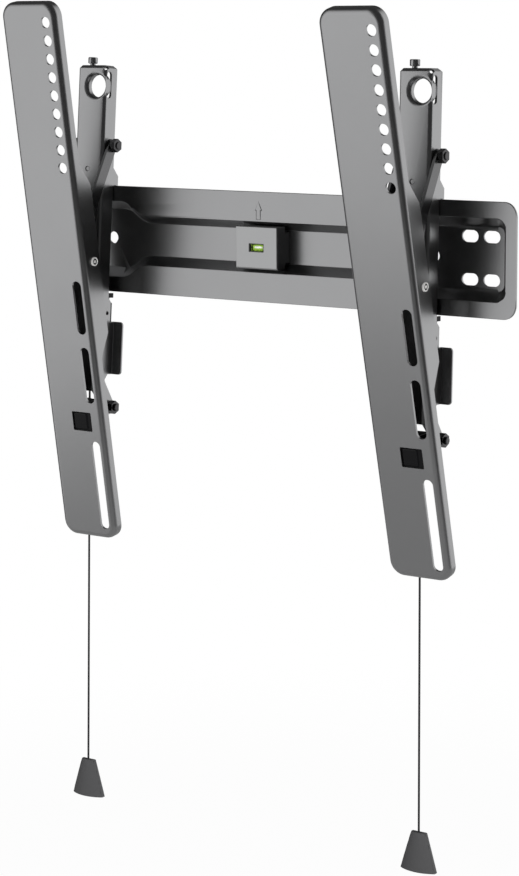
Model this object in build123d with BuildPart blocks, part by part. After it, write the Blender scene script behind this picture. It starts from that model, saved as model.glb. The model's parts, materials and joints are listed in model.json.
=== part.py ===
"""Tilting television wall bracket, standing as it hangs on a wall.

The wall is the plane Y = 0 and the room is at -Y. +X is right, +Z is up, and the origin is the
centre of the wall plate on the wall. Each side has a hook bracket, two struts and a long arm.
A bracket is drawn in its own frame: x = 0 on its right flange, y = 0 on the plate's rim front,
z = 0 at the plate's top edge. An arm is drawn with its tilt axis on x, and y towards the wall.
"""

import math
import os

from build123d import *

os.makedirs("parts", exist_ok=True)

# Sheet steel, and the clearances between pieces that move
SHEET = 2.0
RUNNING = 0.05
SIDE_PLAY = 0.1

# Wall plate: a pressed rail with a long channel and a wide pocket at each end
PLATE_LENGTH = 482.4
PLATE_HEIGHT = 90.2
PLATE_CORNER = 11.0
RECESS = 11.0
RIM_FRONT = -(RECESS + SHEET)
CHANNEL_HALF = 20.9
POCKET_HALF = 32.2
POCKET_END = 232.1
POCKET_CORNER = 9.0
SHOULDER_START = 115.0
SHOULDER_LENGTH = 30.0
SLOPE = 7.0
SLOPE_BACK = 1.06
SLOT_HALF_SPACING = 16.8
SLOT_COLUMNS = (193.8, 213.3)
WALL_SLOT_LENGTH = 14.7
WALL_SLOT_WIDTH = 9.5
PILOT_HOLE_X = 161.0
PILOT_HOLE_RADIUS = 5.0
ARROW_BASE = 22.4
ARROW_HEIGHT = 14.9
ARROW_HEAD = 7.5
ARROW_HALF = 3.5
ARROW_STEM_HALF = 2.1
ARROW_RELIEF = 0.4

# Bubble level in the channel
LEVEL_WIDTH = 41.8
LEVEL_HEIGHT = 35.0
LEVEL_PROUD = 7.0
LEVEL_X = 2.5
LEVEL_SHELF = 4.6
LEVEL_FOOT_HALF = 12.6
LEVEL_WINDOW_WIDTH = 15.0
LEVEL_WINDOW_HEIGHT = 7.0
VIAL_RADIUS = 4.2
VIAL_LENGTH = 26.0
VIAL_DEPTH = 7.0

# Hook bracket: a folded channel that hangs on the plate's top edge
BRACKET_WIDTH = 30.0
WEB_FRONT = -16.0
BRACKET_TOP = 100.3
BRACKET_BACK = -0.5
WEB_BOTTOM = -174.5
BEND = 3.0
TOP_CHAMFER = 2.5
TOP_BEND = 2.0
WELT_TOP = -95.0
WELT_RISE = 4.0
LOWER_BACK = 3.0
HEEL_BACK = 2.2
HEEL_FRONT = -1.6
HEEL_BOTTOM = -165.3
THROAT_Y = 1.9
THROAT_Z = -171.0
EAR_TOP = 15.0
EAR_BACK = 6.2
TONGUE_FRONT = 3.4
TONGUE_BOTTOM = -8.0
EAR_SEAT = 0.3
EAR_SHOULDER = 8.0
EAR_CHAMFER = 1.2
OPENING_X = -10.6
OPENING_Z = 83.0
OPENING_RADIUS = 9.35
COLLAR_ROUND = 3.4
COLLAR_DEPTH = 6.6
COLLAR_TRIM = 0.3
RELIEF_X = -1.5
RELIEF_RADIUS = 1.6
RELIEF_DROP = 2.4
SIDE_SLOT_WIDTH = 5.5
SIDE_SLOT_LENGTH = 22.0
SIDE_SLOT_Y = -10.75
FOLD_GAP_HALF = 6.0
FOOT_FRONT = 7.6
FOOT_TOP = -115.6
FOOT_BOTTOM = -160.5
FOOT_REACH = 9.5
FOOT_CORNER = 3.0
GUIDE_HOLE_Y = -1.5
GUIDE_HOLE_Z = -108.2
GUIDE_HOLE_RADIUS = 1.5
LUG_RADIUS = 6.5
SPRING_HOOK_Z = -24.0
SPRING_HOOK_THICK = 2.0
SPRING_HOOK_HALF = 3.0
MARK_X = -16.0
MARK_Z = 13.5
MARK_RADIUS = 2.0
MARK_DEPTH = 0.6

# Bolts across the bracket, and the tilt axis
BOLT_RADIUS = 3.0
BOLT_Y = -6.3
BOLT_Z = 33.6
PIVOT_Y = 6.3
PIVOT_Z = -188.5
NUT_ACROSS_FLATS = 10.0
NUT_THICK = 5.0
BOLT_OVERHANG = 1.0
WASHER_RADIUS = 5.5
WASHER_THICK = 0.6
PIVOT_SPACER_RADIUS = 4.0
BARREL_RADIUS = 5.5

# Top adjusting screw
SCREW_X = -19.2
SCREW_Y = -10.0
SCREW_RADIUS = 2.5
SCREW_NECK_RADIUS = 2.25
SCREW_NECK = 1.5
SCREW_HEAD_RADIUS = 4.0
SCREW_HEAD = 5.2
SCREW_BOTTOM = 94.0

# Struts: dog-leg bars from the upper bolt to a slot on the arm's rivets
STRUT_THICK = 2.5
STRUT_WIDTH = 10.0
STRUT_KNEE = 50.9
STRUT_OFFSET = 12.9
STRUT_SLOT_TOP = 87.0
STRUT_SLOT_BOTTOM = 104.8
STRUT_SLOT_WIDTH = 6.4
STRUT_TIP = 112.0

# Television arm: a long folded tray with the tilt axis behind its face
ARM_WIDTH = 57.4
ARM_RIGHT = 12.2
ARM_FACE = -26.2
ARM_TOP = 349.3
ARM_BOTTOM = -111.5
ARM_CORNER = 12.5
ARM_BEND = 5.0
FLANGE_NARROW = 9.8
FLANGE_WIDE = 21.6
RAMP_TOP = 215.0
RAMP_BOTTOM = 196.0
KNEE_TOP = 68.0
KNEE_BOTTOM = 49.0
ARM_HOLE_X = 2.0
ARM_HOLE_RADIUS = 4.6
ARM_HOLE_PITCH = 15.0
ARM_HOLE_COUNT = 9
ARM_TOP_HOLE = 333.0
ARM_SLOT_WIDTH = 9.3
ARM_SLOTS = ((71.0, 117.0), (10.5, 59.5), (-102.0, -23.5))
WINDOW_X = -9.7
WINDOW_WIDTH = 20.5
WINDOW_TOP = 2.0
WINDOW_HEIGHT = 16.8

# Hinge carrier behind the arm's window
CARRIER_HALF = 8.8
CARRIER_TOP = 10.0
CARRIER_BOTTOM = -18.0
CARRIER_LUG_RADIUS = 6.0
CARRIER_EAR = 5.0
CARRIER_CORNER = 3.0
CARRIER_REACH = 60.0
NOSE_X = -12.0
NOSE_WIDTH = 13.5
NOSE_MARGIN = 1.2
NOSE_PROUD = 1.4
NOSE_ROUND = 1.0

# Rivets that carry the struts
RIVET_Y = -12.4
RIVET_Z = 131.3
RIVET_HEAD_RADIUS = 3.8
RIVET_HEAD = 1.2
RIVET_DIMPLE_RADIUS = 1.3
RIVET_DIMPLE = 1.6
RIVET_HOLE_RADIUS = 2.6
RIVET_SHOULDER_RADIUS = 4.0
RIVET_TIP_RADIUS = 2.2

# Safety latch inside the bracket, with its spring
LATCH_FRONT = -13.6
LATCH_THICK = 1.8
LATCH_TOP = -70.0
LATCH_BOTTOM = -150.0
LATCH_PLAY = 0.5
LATCH_LEFT = -BRACKET_WIDTH + SHEET + LATCH_PLAY
LATCH_RIGHT = -SHEET - LATCH_PLAY
LATCH_BACK = -1.6
CHEEK_BACK = 7.6
CHEEK_TOP = -98.0
TOOTH_TOP = -91.3
TOOTH_BACK = 9.2
TOOTH_THICK = 4.0
TOOTH_NECK = 4.0
LATCH_TOE = 14.0
TAB_BACK = 11.4
TAB_THICK = 3.0
SPRING_RADIUS = 3.0
SPRING_BORE = 2.0
SPRING_Y = -10.7

# Cords and handles
CORD_RADIUS = 0.9
FERRULE_RADIUS = 1.6
CORD_X = LATCH_LEFT + FERRULE_RADIUS
CORD_Y = 9.6
FERRULE_LENGTH = 6.0
CORD_EDGE_RADIUS = 20.0
LEFT_CORD_END = (-186.9, -17.1, -463.0)
RIGHT_CORD_EDGE = (148.5, -0.95, -257.0)
RIGHT_CORD_END = (149.5, -2.4, -471.4)
HANDLE_HEIGHT = 32.8
HANDLE_TOP_WIDTH = 14.1
HANDLE_BOTTOM_WIDTH = 33.6
HANDLE_TOP_SIDE = 2.7
HANDLE_BOTTOM_SIDE = 4.0
HANDLE_TOP_BULGE = 1.9
HANDLE_BOTTOM_BULGE = 5.0
HANDLE_BACK = 2.2

# Where each side stands: the bracket's right flange, its swing off the plate, and the arm's tilt
SIDE_X = {"left": -151.4, "right": 173.15}
SWING = {"left": 5.04, "right": 1.9}
TILT = {"left": 13.8, "right": 15.0}

BRACKET_MIDDLE = -BRACKET_WIDTH / 2
STRUT_GAP = WASHER_THICK + SIDE_PLAY
ARM_LEFT = ARM_RIGHT - ARM_WIDTH


def bracket_frame(side):
    """Frame of one hook bracket, turned about the plate's top edge by its swing."""
    return Location((SIDE_X[side], RIM_FRONT, PLATE_HEIGHT / 2), (-SWING[side], 0, 0))


def arm_frame(side):
    """Frame of one television arm, turned about the tilt axis."""
    return bracket_frame(side) * Location((0, PIVOT_Y, PIVOT_Z), (TILT[side], 0, 0))


def strut_lean(tilt):
    """Turn of a strut, in degrees, that keeps its slot on the rivets of an arm tilted so far."""
    turn = math.radians(tilt)
    rivet_y = PIVOT_Y + RIVET_Y * math.cos(turn) - RIVET_Z * math.sin(turn)
    rivet_z = PIVOT_Z + RIVET_Y * math.sin(turn) + RIVET_Z * math.cos(turn)
    across = rivet_y - BOLT_Y
    down = BOLT_Z - rivet_z
    reach = math.hypot(across, down)
    return math.degrees(math.atan2(across, down) + math.asin(STRUT_OFFSET / reach))


def strut_frame(side):
    """Frame of the struts of one side, on the upper bolt."""
    return bracket_frame(side) * Location((0, BOLT_Y, BOLT_Z), (strut_lean(TILT[side]), 0, 0))


def save(form, frame, name):
    """Write one piece, standing in its frame, as a node of its own."""
    with BuildPart() as node:
        with Locations(frame):
            add(form)
    node.part.label = name
    export_step(node.part, f"parts/{name}.step")


# Wall plate


def recess_face(height, spread):
    """Face of the recess at one depth: spread is how far the outline stands out from the rim's."""
    channel = CHANNEL_HALF + spread
    pocket = POCKET_HALF + spread
    end = POCKET_END + spread
    start = SHOULDER_START - spread / 2
    corner = POCKET_CORNER + spread / 2
    with BuildSketch(Plane.XZ.offset(height)) as face:
        with BuildLine():
            Line((0, channel), (start, channel))
            Spline((start, channel), (start + SHOULDER_LENGTH, pocket), tangents=((1, 0), (1, 0)))
            Line((start + SHOULDER_LENGTH, pocket), (end - corner, pocket))
            CenterArc((end - corner, pocket - corner), corner, 0, 90)
            Line((end, pocket - corner), (end, 0))
            mirror(about=Plane.XZ)
            mirror(about=Plane.YZ)
        make_face()
    return face.sketch


def wall_plate_form():
    """Pressed rail: a flat rim round a recess that lies on the wall."""
    with BuildPart() as plate:
        with BuildSketch(Plane.XZ.offset(RECESS)):
            RectangleRounded(PLATE_LENGTH, PLATE_HEIGHT, PLATE_CORNER)
        extrude(amount=SHEET)
        loft([recess_face(RECESS, SLOPE_BACK), recess_face(0, SLOPE_BACK - SLOPE)], ruled=True)
        loft([recess_face(-RIM_FRONT, 0), recess_face(SHEET, -SLOPE)], ruled=True, mode=Mode.SUBTRACT)
        with BuildSketch(Plane.XZ):
            for column in SLOT_COLUMNS:
                with GridLocations(2 * column, 2 * SLOT_HALF_SPACING, 2, 2):
                    SlotOverall(WALL_SLOT_LENGTH, WALL_SLOT_WIDTH)
            with GridLocations(2 * PILOT_HOLE_X, 0, 2, 1):
                Circle(PILOT_HOLE_RADIUS)
        extrude(amount=2 * SHEET, mode=Mode.SUBTRACT)
        with BuildSketch(Plane.XZ.offset(-RIM_FRONT)):
            with BuildLine():
                Polyline(
                    (0, ARROW_BASE),
                    (ARROW_STEM_HALF, ARROW_BASE),
                    (ARROW_STEM_HALF, ARROW_BASE + ARROW_HEAD),
                    (ARROW_HALF, ARROW_BASE + ARROW_HEAD),
                    (0, ARROW_BASE + ARROW_HEIGHT),
                )
                mirror(about=Plane.YZ)
            make_face()
        extrude(amount=ARROW_RELIEF)
    return plate.part


def level_housing_form():
    """Level housing: a box proud of the rim, with a foot that reaches the channel's floor."""
    front = -RIM_FRONT + LEVEL_PROUD
    shelf = -RIM_FRONT - LEVEL_SHELF
    with BuildPart() as housing:
        with BuildSketch(Plane.XZ.offset(shelf)):
            with Locations((LEVEL_X, 0)):
                Rectangle(LEVEL_WIDTH, LEVEL_HEIGHT)
        extrude(amount=front - shelf)
        chamfer(housing.faces().sort_by(Axis.Y)[0].edges(), 0.8)
        with BuildSketch(Plane.XZ.offset(SHEET)):
            with Locations((LEVEL_X, 0)):
                Rectangle(LEVEL_WIDTH, 2 * LEVEL_FOOT_HALF)
        extrude(amount=shelf - SHEET)
        with BuildSketch(Plane.XZ.offset(front)):
            with Locations((LEVEL_X, 0)):
                Rectangle(LEVEL_WINDOW_WIDTH, LEVEL_WINDOW_HEIGHT)
        extrude(amount=-VIAL_DEPTH, mode=Mode.SUBTRACT)
        with BuildSketch(Plane.YZ.offset(LEVEL_X - VIAL_LENGTH / 2)):
            with Locations((-front + VIAL_DEPTH, 0)):
                Circle(VIAL_RADIUS)
        extrude(amount=VIAL_LENGTH, mode=Mode.SUBTRACT)
    return housing.part


def level_vial_form():
    """Vial of the level, closed in the housing behind its window."""
    front = -RIM_FRONT + LEVEL_PROUD
    with BuildPart() as vial:
        with BuildSketch(Plane.YZ.offset(LEVEL_X - VIAL_LENGTH / 2 + SIDE_PLAY)):
            with Locations((-front + VIAL_DEPTH, 0)):
                Circle(VIAL_RADIUS - RUNNING)
        extrude(amount=VIAL_LENGTH - 2 * SIDE_PLAY)
    return vial.part


# Hook bracket


def lug_touch(start, sign):
    """Point where a straight edge from start touches the lug, on the side that sign picks."""
    out = math.hypot(start[0] - PIVOT_Y, start[1] - PIVOT_Z)
    angle = math.atan2(start[1] - PIVOT_Z, start[0] - PIVOT_Y) + sign * math.acos(LUG_RADIUS / out)
    return (PIVOT_Y + LUG_RADIUS * math.cos(angle), PIVOT_Z + LUG_RADIUS * math.sin(angle))


def collar_form():
    """Drawn collar of the bracket's round opening: the web turned inward on a round of its own."""
    start = WEB_FRONT + COLLAR_ROUND
    bend = OPENING_Z + OPENING_RADIUS + COLLAR_ROUND
    inner = OPENING_Z + OPENING_RADIUS
    with BuildPart() as collar:
        with BuildSketch(Plane.YZ.offset(OPENING_X)):
            with BuildLine():
                CenterArc((start, bend), COLLAR_ROUND, 180, 90)
                Line((start, inner), (WEB_FRONT + COLLAR_DEPTH, inner))
                Line((WEB_FRONT + COLLAR_DEPTH, inner), (WEB_FRONT + COLLAR_DEPTH, inner + SHEET))
                Line((WEB_FRONT + COLLAR_DEPTH, inner + SHEET), (start, inner + SHEET))
                CenterArc((start, bend), COLLAR_ROUND - SHEET, 180, 90)
                Line((WEB_FRONT + SHEET, bend), (WEB_FRONT, bend))
            make_face()
        revolve(axis=Axis((OPENING_X, 0, OPENING_Z), (0, 1, 0)))
        with BuildSketch(Plane.YZ.offset(-COLLAR_TRIM)):
            with Locations((WEB_FRONT, OPENING_Z)):
                Rectangle(2 * BRACKET_WIDTH, 2 * BRACKET_WIDTH)
        extrude(amount=BRACKET_WIDTH, mode=Mode.SUBTRACT)
    return collar.part


def bracket_form():
    """Hook bracket: web, two flanges with hooks and feet, and a flap closing the top."""
    foot_back = FOOT_FRONT + SHEET
    web_corner = (WEB_FRONT, WEB_BOTTOM)
    throat = (THROAT_Y, THROAT_Z)
    outline = (
        (WEB_FRONT, BRACKET_TOP),
        (BRACKET_BACK - TOP_CHAMFER, BRACKET_TOP),
        (BRACKET_BACK, BRACKET_TOP - TOP_CHAMFER),
        (BRACKET_BACK, EAR_TOP),
        (EAR_BACK, EAR_SHOULDER),
        (EAR_BACK, TONGUE_BOTTOM + EAR_CHAMFER),
        (EAR_BACK - EAR_CHAMFER, TONGUE_BOTTOM),
        (TONGUE_FRONT, TONGUE_BOTTOM),
        (TONGUE_FRONT, EAR_SEAT),
        (BRACKET_BACK, EAR_SEAT),
        (BRACKET_BACK, WELT_TOP),
        (LOWER_BACK, WELT_TOP - WELT_RISE),
        (LOWER_BACK, FOOT_TOP),
        (foot_back, FOOT_TOP),
        (foot_back, FOOT_BOTTOM),
        (HEEL_BACK, FOOT_BOTTOM),
        (HEEL_FRONT, HEEL_BOTTOM),
        throat,
        lug_touch(throat, -1),
        (PIVOT_Y, PIVOT_Z),
        lug_touch(web_corner, 1),
        web_corner,
    )
    inside = BRACKET_WIDTH - 2 * SHEET
    with BuildPart() as bracket:
        with BuildSketch(Plane.YZ.offset(-BRACKET_WIDTH)):
            with BuildLine():
                Polyline(*outline, close=True)
            make_face()
            with Locations((PIVOT_Y, PIVOT_Z)):
                Circle(LUG_RADIUS)
        extrude(amount=BRACKET_WIDTH)
        fillet(bracket.edges().filter_by(Axis.Z).group_by(Axis.Y)[0], BEND)
        chamfer(bracket.faces().sort_by(Axis.Z)[-1].edges().filter_by(Axis.Y), TOP_CHAMFER)
        with BuildSketch(Plane.XY.offset(BRACKET_TOP - SHEET)):
            with Locations((BRACKET_MIDDLE, WEB_FRONT + SHEET + BRACKET_WIDTH / 2)):
                RectangleRounded(inside, BRACKET_WIDTH, BEND - SHEET)
        extrude(amount=PIVOT_Z - LUG_RADIUS - BRACKET_TOP, mode=Mode.SUBTRACT)
        with BuildSketch(Plane.XZ.offset(-WEB_FRONT)):
            with Locations((BRACKET_MIDDLE, WEB_BOTTOM - LUG_RADIUS)):
                Rectangle(inside, 2 * LUG_RADIUS)
        extrude(amount=-2 * SHEET, mode=Mode.SUBTRACT)
        # Round opening with a drawn collar, open round the fold to a slot in the right flange
        with BuildSketch(Plane.XZ.offset(-WEB_FRONT)):
            with Locations((OPENING_X, OPENING_Z)):
                Circle(OPENING_RADIUS + COLLAR_ROUND)
        extrude(amount=-2 * SHEET, mode=Mode.SUBTRACT)
        with BuildSketch(Plane.YZ):
            with Locations((SIDE_SLOT_Y, OPENING_Z + 1)):
                SlotOverall(SIDE_SLOT_LENGTH, SIDE_SLOT_WIDTH, rotation=90)
            with Locations((WEB_FRONT, OPENING_Z)):
                Rectangle(2 * (SIDE_SLOT_Y - WEB_FRONT), 2 * FOLD_GAP_HALF)
        extrude(amount=-2 * SHEET, mode=Mode.SUBTRACT)
        add(collar_form())
        # Relief hole in the corner where web, flange and flap meet
        with BuildSketch(Plane.XZ.offset(-WEB_FRONT)):
            with Locations((RELIEF_X, BRACKET_TOP - RELIEF_DROP)):
                Circle(RELIEF_RADIUS)
        extrude(amount=-2 * SHEET, mode=Mode.SUBTRACT)
        # Feet bent outward at the back of both flanges
        with BuildSketch(Plane.XZ.offset(-foot_back)):
            with Locations((BRACKET_MIDDLE, (FOOT_TOP + FOOT_BOTTOM) / 2)):
                RectangleRounded(BRACKET_WIDTH + 2 * FOOT_REACH, FOOT_TOP - FOOT_BOTTOM, FOOT_CORNER)
                Rectangle(inside, FOOT_TOP - FOOT_BOTTOM, mode=Mode.SUBTRACT)
        extrude(amount=SHEET)
        # Tab inside the web that anchors the latch spring
        with BuildSketch(Plane.XY.offset(SPRING_HOOK_Z)):
            with Locations((BRACKET_MIDDLE, (WEB_FRONT + SHEET + SPRING_Y + SPRING_RADIUS) / 2)):
                Rectangle(2 * SPRING_HOOK_HALF, SPRING_Y + SPRING_RADIUS - WEB_FRONT - SHEET)
        extrude(amount=SPRING_HOOK_THICK)
        # Holes for the two bolts, the adjusting screw, the latch guide and the small web mark
        with BuildSketch(Plane.YZ.offset(-BRACKET_WIDTH)):
            with Locations((BOLT_Y, BOLT_Z), (PIVOT_Y, PIVOT_Z)):
                Circle(BOLT_RADIUS + RUNNING)
            with Locations((GUIDE_HOLE_Y, GUIDE_HOLE_Z)):
                Circle(GUIDE_HOLE_RADIUS)
        extrude(amount=BRACKET_WIDTH, mode=Mode.SUBTRACT)
        with BuildSketch(Plane.XY.offset(BRACKET_TOP)):
            with Locations((SCREW_X, SCREW_Y)):
                Circle(SCREW_RADIUS + RUNNING)
        extrude(amount=-2 * SHEET, mode=Mode.SUBTRACT)
        with BuildSketch(Plane.XZ.offset(-WEB_FRONT)):
            with Locations((MARK_X, MARK_Z)):
                Circle(MARK_RADIUS)
        extrude(amount=-MARK_DEPTH, mode=Mode.SUBTRACT)
    return bracket.part


def cross_bolt_form(y, z, overhang):
    """Plain bolt through both flanges, longer than the bracket is wide by overhang on each side."""
    with BuildPart() as bolt:
        with BuildSketch(Plane.YZ.offset(-BRACKET_WIDTH - overhang)):
            with Locations((y, z)):
                Circle(BOLT_RADIUS)
        extrude(amount=BRACKET_WIDTH + 2 * overhang)
        chamfer(bolt.edges().filter_by(GeomType.CIRCLE), 0.5)
    return bolt.part


def nuts_form(y, z, gap):
    """Two hexagon nuts, one outside each flange, gap away from it."""
    with BuildPart() as nuts:
        for start in (gap, -BRACKET_WIDTH - gap - NUT_THICK):
            with BuildSketch(Plane.YZ.offset(start)):
                with Locations((y, z)):
                    RegularPolygon(NUT_ACROSS_FLATS / 2, 6, major_radius=False, rotation=30)
                    Circle(BOLT_RADIUS + RUNNING, mode=Mode.SUBTRACT)
            extrude(amount=NUT_THICK)
    return nuts.part


def rings_form(y, z, spans, radius):
    """Plain rings on a cross bolt, one for each span along x."""
    with BuildPart() as rings:
        for low, high in spans:
            with BuildSketch(Plane.YZ.offset(low)):
                with Locations((y, z)):
                    Circle(radius)
                    Circle(BOLT_RADIUS + RUNNING, mode=Mode.SUBTRACT)
            extrude(amount=high - low)
    return rings.part


def adjusting_screw_form():
    """Thumb screw through the top flap."""
    neck_top = BRACKET_TOP + SCREW_NECK
    with BuildPart() as screw:
        with BuildSketch(Plane.XY.offset(SCREW_BOTTOM)):
            with Locations((SCREW_X, SCREW_Y)):
                Circle(SCREW_RADIUS)
        extrude(amount=BRACKET_TOP - SCREW_BOTTOM)
        with BuildSketch(Plane.XY.offset(BRACKET_TOP)):
            with Locations((SCREW_X, SCREW_Y)):
                Circle(SCREW_NECK_RADIUS)
        extrude(amount=SCREW_NECK)
        with BuildSketch(Plane.XY.offset(neck_top)):
            with Locations((SCREW_X, SCREW_Y)):
                Circle(SCREW_HEAD_RADIUS)
        extrude(amount=SCREW_HEAD)
        chamfer(screw.faces().sort_by(Axis.Z)[-1].edges(), 0.6)
    return screw.part


# Struts


def strut_form(x):
    """Dog-leg bar from its bolt hole to a slot, with its inner face at x."""
    knee = (-STRUT_OFFSET, -STRUT_KNEE)
    tip = (-STRUT_OFFSET, -(STRUT_TIP - STRUT_WIDTH / 2))
    upper_angle = math.degrees(math.atan2(STRUT_KNEE, STRUT_OFFSET))
    slot_middle = -(STRUT_SLOT_TOP + STRUT_SLOT_BOTTOM) / 2
    slot_length = STRUT_SLOT_BOTTOM - STRUT_SLOT_TOP + STRUT_SLOT_WIDTH
    with BuildPart() as strut:
        with BuildSketch(Plane.YZ.offset(x)):
            with Locations((knee[0] / 2, knee[1] / 2)):
                SlotCenterToCenter(math.hypot(*knee), STRUT_WIDTH, rotation=upper_angle)
            with Locations((knee[0], (knee[1] + tip[1]) / 2)):
                SlotCenterToCenter(knee[1] - tip[1], STRUT_WIDTH, rotation=90)
            with Locations((0, 0)):
                Circle(BOLT_RADIUS + RUNNING, mode=Mode.SUBTRACT)
            with Locations((-STRUT_OFFSET, slot_middle)):
                SlotOverall(slot_length, STRUT_SLOT_WIDTH, rotation=90, mode=Mode.SUBTRACT)
        extrude(amount=STRUT_THICK)
    return strut.part


# Television arm


def arm_form():
    """Long tray folded from sheet, deeper where it passes the bracket."""
    middle = ((ARM_LEFT + ARM_RIGHT) / 2, (ARM_TOP + ARM_BOTTOM) / 2)
    length = ARM_TOP - ARM_BOTTOM
    with BuildPart() as arm:
        with BuildSketch(Plane.XZ.offset(-ARM_FACE)):
            with Locations(middle):
                RectangleRounded(ARM_WIDTH, length, ARM_CORNER)
        extrude(amount=-FLANGE_WIDE)
        fillet(arm.faces().sort_by(Axis.Y)[0].edges(), ARM_BEND)
        with BuildPart(mode=Mode.SUBTRACT) as inside:
            with BuildSketch(Plane.XZ.offset(-ARM_FACE - SHEET)):
                with Locations(middle):
                    RectangleRounded(ARM_WIDTH - 2 * SHEET, length - 2 * SHEET, ARM_CORNER - SHEET)
            extrude(amount=-FLANGE_WIDE)
            fillet(inside.faces().sort_by(Axis.Y)[0].edges(), ARM_BEND - SHEET)
        # Back edge of the flanges: narrow, a ramp, wide past the bracket, a knee, narrow again
        narrow = ARM_FACE + FLANGE_NARROW
        wide = ARM_FACE + FLANGE_WIDE
        with BuildSketch(Plane.YZ.offset(ARM_LEFT)):
            with BuildLine():
                Polyline(
                    (narrow, ARM_TOP + 1),
                    (narrow, RAMP_TOP),
                    (wide - 1.0, RAMP_BOTTOM),
                    (wide, RAMP_BOTTOM - 10),
                    (wide, KNEE_TOP),
                    (narrow, KNEE_BOTTOM),
                    (narrow, ARM_BOTTOM - 1),
                    (wide + 1, ARM_BOTTOM - 1),
                    (wide + 1, ARM_TOP + 1),
                    close=True,
                )
            make_face()
        extrude(amount=ARM_WIDTH, mode=Mode.SUBTRACT)
        # Screw holes, slots and the window, through the face only
        with BuildSketch(Plane.XZ.offset(-ARM_FACE)):
            for index in range(ARM_HOLE_COUNT):
                with Locations((ARM_HOLE_X, ARM_TOP_HOLE - index * ARM_HOLE_PITCH)):
                    Circle(ARM_HOLE_RADIUS)
            for low, high in ARM_SLOTS:
                with Locations((ARM_HOLE_X, (low + high) / 2)):
                    SlotOverall(high - low, ARM_SLOT_WIDTH, rotation=90)
            with Locations((WINDOW_X, WINDOW_TOP - WINDOW_HEIGHT / 2)):
                RectangleRounded(WINDOW_WIDTH, WINDOW_HEIGHT, 1.0)
        extrude(amount=-2 * SHEET, mode=Mode.SUBTRACT)
        with BuildSketch(Plane.YZ.offset(ARM_LEFT)):
            with Locations((RIVET_Y, RIVET_Z)):
                Circle(RIVET_HOLE_RADIUS + RUNNING)
        extrude(amount=ARM_WIDTH, mode=Mode.SUBTRACT)
    return arm.part


def carrier_form():
    """Folded carrier behind the arm's face, with two lugs on the tilt axis."""
    back = ARM_FACE + SHEET
    with BuildPart() as carrier:
        with BuildSketch(Plane.YZ.offset(BRACKET_MIDDLE - CARRIER_HALF)):
            with BuildLine():
                Polyline(
                    (back, CARRIER_TOP),
                    (back + SHEET, CARRIER_TOP),
                    (0, CARRIER_LUG_RADIUS),
                    (0, -CARRIER_LUG_RADIUS),
                    (back + SHEET, CARRIER_BOTTOM),
                    (back, CARRIER_BOTTOM),
                    close=True,
                )
            make_face()
            Circle(CARRIER_LUG_RADIUS)
        extrude(amount=2 * CARRIER_HALF)
        with BuildSketch(Plane.YZ.offset(BRACKET_MIDDLE - CARRIER_HALF + SHEET)):
            with Locations((back + SHEET + CARRIER_REACH / 2, 0)):
                Rectangle(CARRIER_REACH, CARRIER_REACH)
        extrude(amount=2 * (CARRIER_HALF - SHEET), mode=Mode.SUBTRACT)
        with BuildSketch(Plane.XZ.offset(-back)):
            with Locations((BRACKET_MIDDLE, (CARRIER_TOP + CARRIER_BOTTOM) / 2)):
                RectangleRounded(2 * (CARRIER_HALF + CARRIER_EAR), CARRIER_TOP - CARRIER_BOTTOM, CARRIER_CORNER)
        extrude(amount=-SHEET)
        # Pressed nose that stands in the arm's window
        with BuildSketch(Plane.XZ.offset(-back)):
            with Locations((NOSE_X, WINDOW_TOP - WINDOW_HEIGHT / 2)):
                RectangleRounded(NOSE_WIDTH, WINDOW_HEIGHT - 2 * NOSE_MARGIN, NOSE_MARGIN)
        extrude(amount=NOSE_PROUD)
        fillet(carrier.faces().sort_by(Axis.Y)[0].edges(), NOSE_ROUND)
        with BuildSketch(Plane.YZ.offset(BRACKET_MIDDLE - CARRIER_HALF)):
            Circle(BOLT_RADIUS + RUNNING)
        extrude(amount=2 * CARRIER_HALF, mode=Mode.SUBTRACT)
    return carrier.part


def strut_rivets_form():
    """Two shouldered rivets, one in each flange, whose tips ride in the strut slots."""
    outer = (ARM_RIGHT, ARM_LEFT)
    inward = (-1, 1)
    strut_face = (STRUT_GAP + STRUT_THICK + SIDE_PLAY, -BRACKET_WIDTH - STRUT_GAP - STRUT_THICK - SIDE_PLAY)
    tip_end = (STRUT_GAP, -BRACKET_WIDTH - STRUT_GAP)
    with BuildPart() as rivets:
        for side in (0, 1):
            sign = inward[side]
            with BuildSketch(Plane.YZ.offset(outer[side])):
                with Locations((RIVET_Y, RIVET_Z)):
                    Circle(RIVET_HEAD_RADIUS)
            extrude(amount=-sign * RIVET_HEAD, taper=30)
            with BuildSketch(Plane.YZ.offset(outer[side])):
                with Locations((RIVET_Y, RIVET_Z)):
                    Circle(RIVET_HOLE_RADIUS)
            extrude(amount=sign * SHEET)
            with BuildSketch(Plane.YZ.offset(outer[side] + sign * SHEET)):
                with Locations((RIVET_Y, RIVET_Z)):
                    Circle(RIVET_SHOULDER_RADIUS)
            extrude(amount=strut_face[side] - outer[side] - sign * SHEET)
            with BuildSketch(Plane.YZ.offset(strut_face[side])):
                with Locations((RIVET_Y, RIVET_Z)):
                    Circle(RIVET_TIP_RADIUS)
            extrude(amount=tip_end[side] - strut_face[side])
            with BuildSketch(Plane.YZ.offset(outer[side] - sign * RIVET_HEAD)):
                with Locations((RIVET_Y, RIVET_Z)):
                    Circle(RIVET_DIMPLE_RADIUS)
            extrude(amount=sign * RIVET_DIMPLE, mode=Mode.SUBTRACT)
    return rivets.part


# Safety latch


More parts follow.
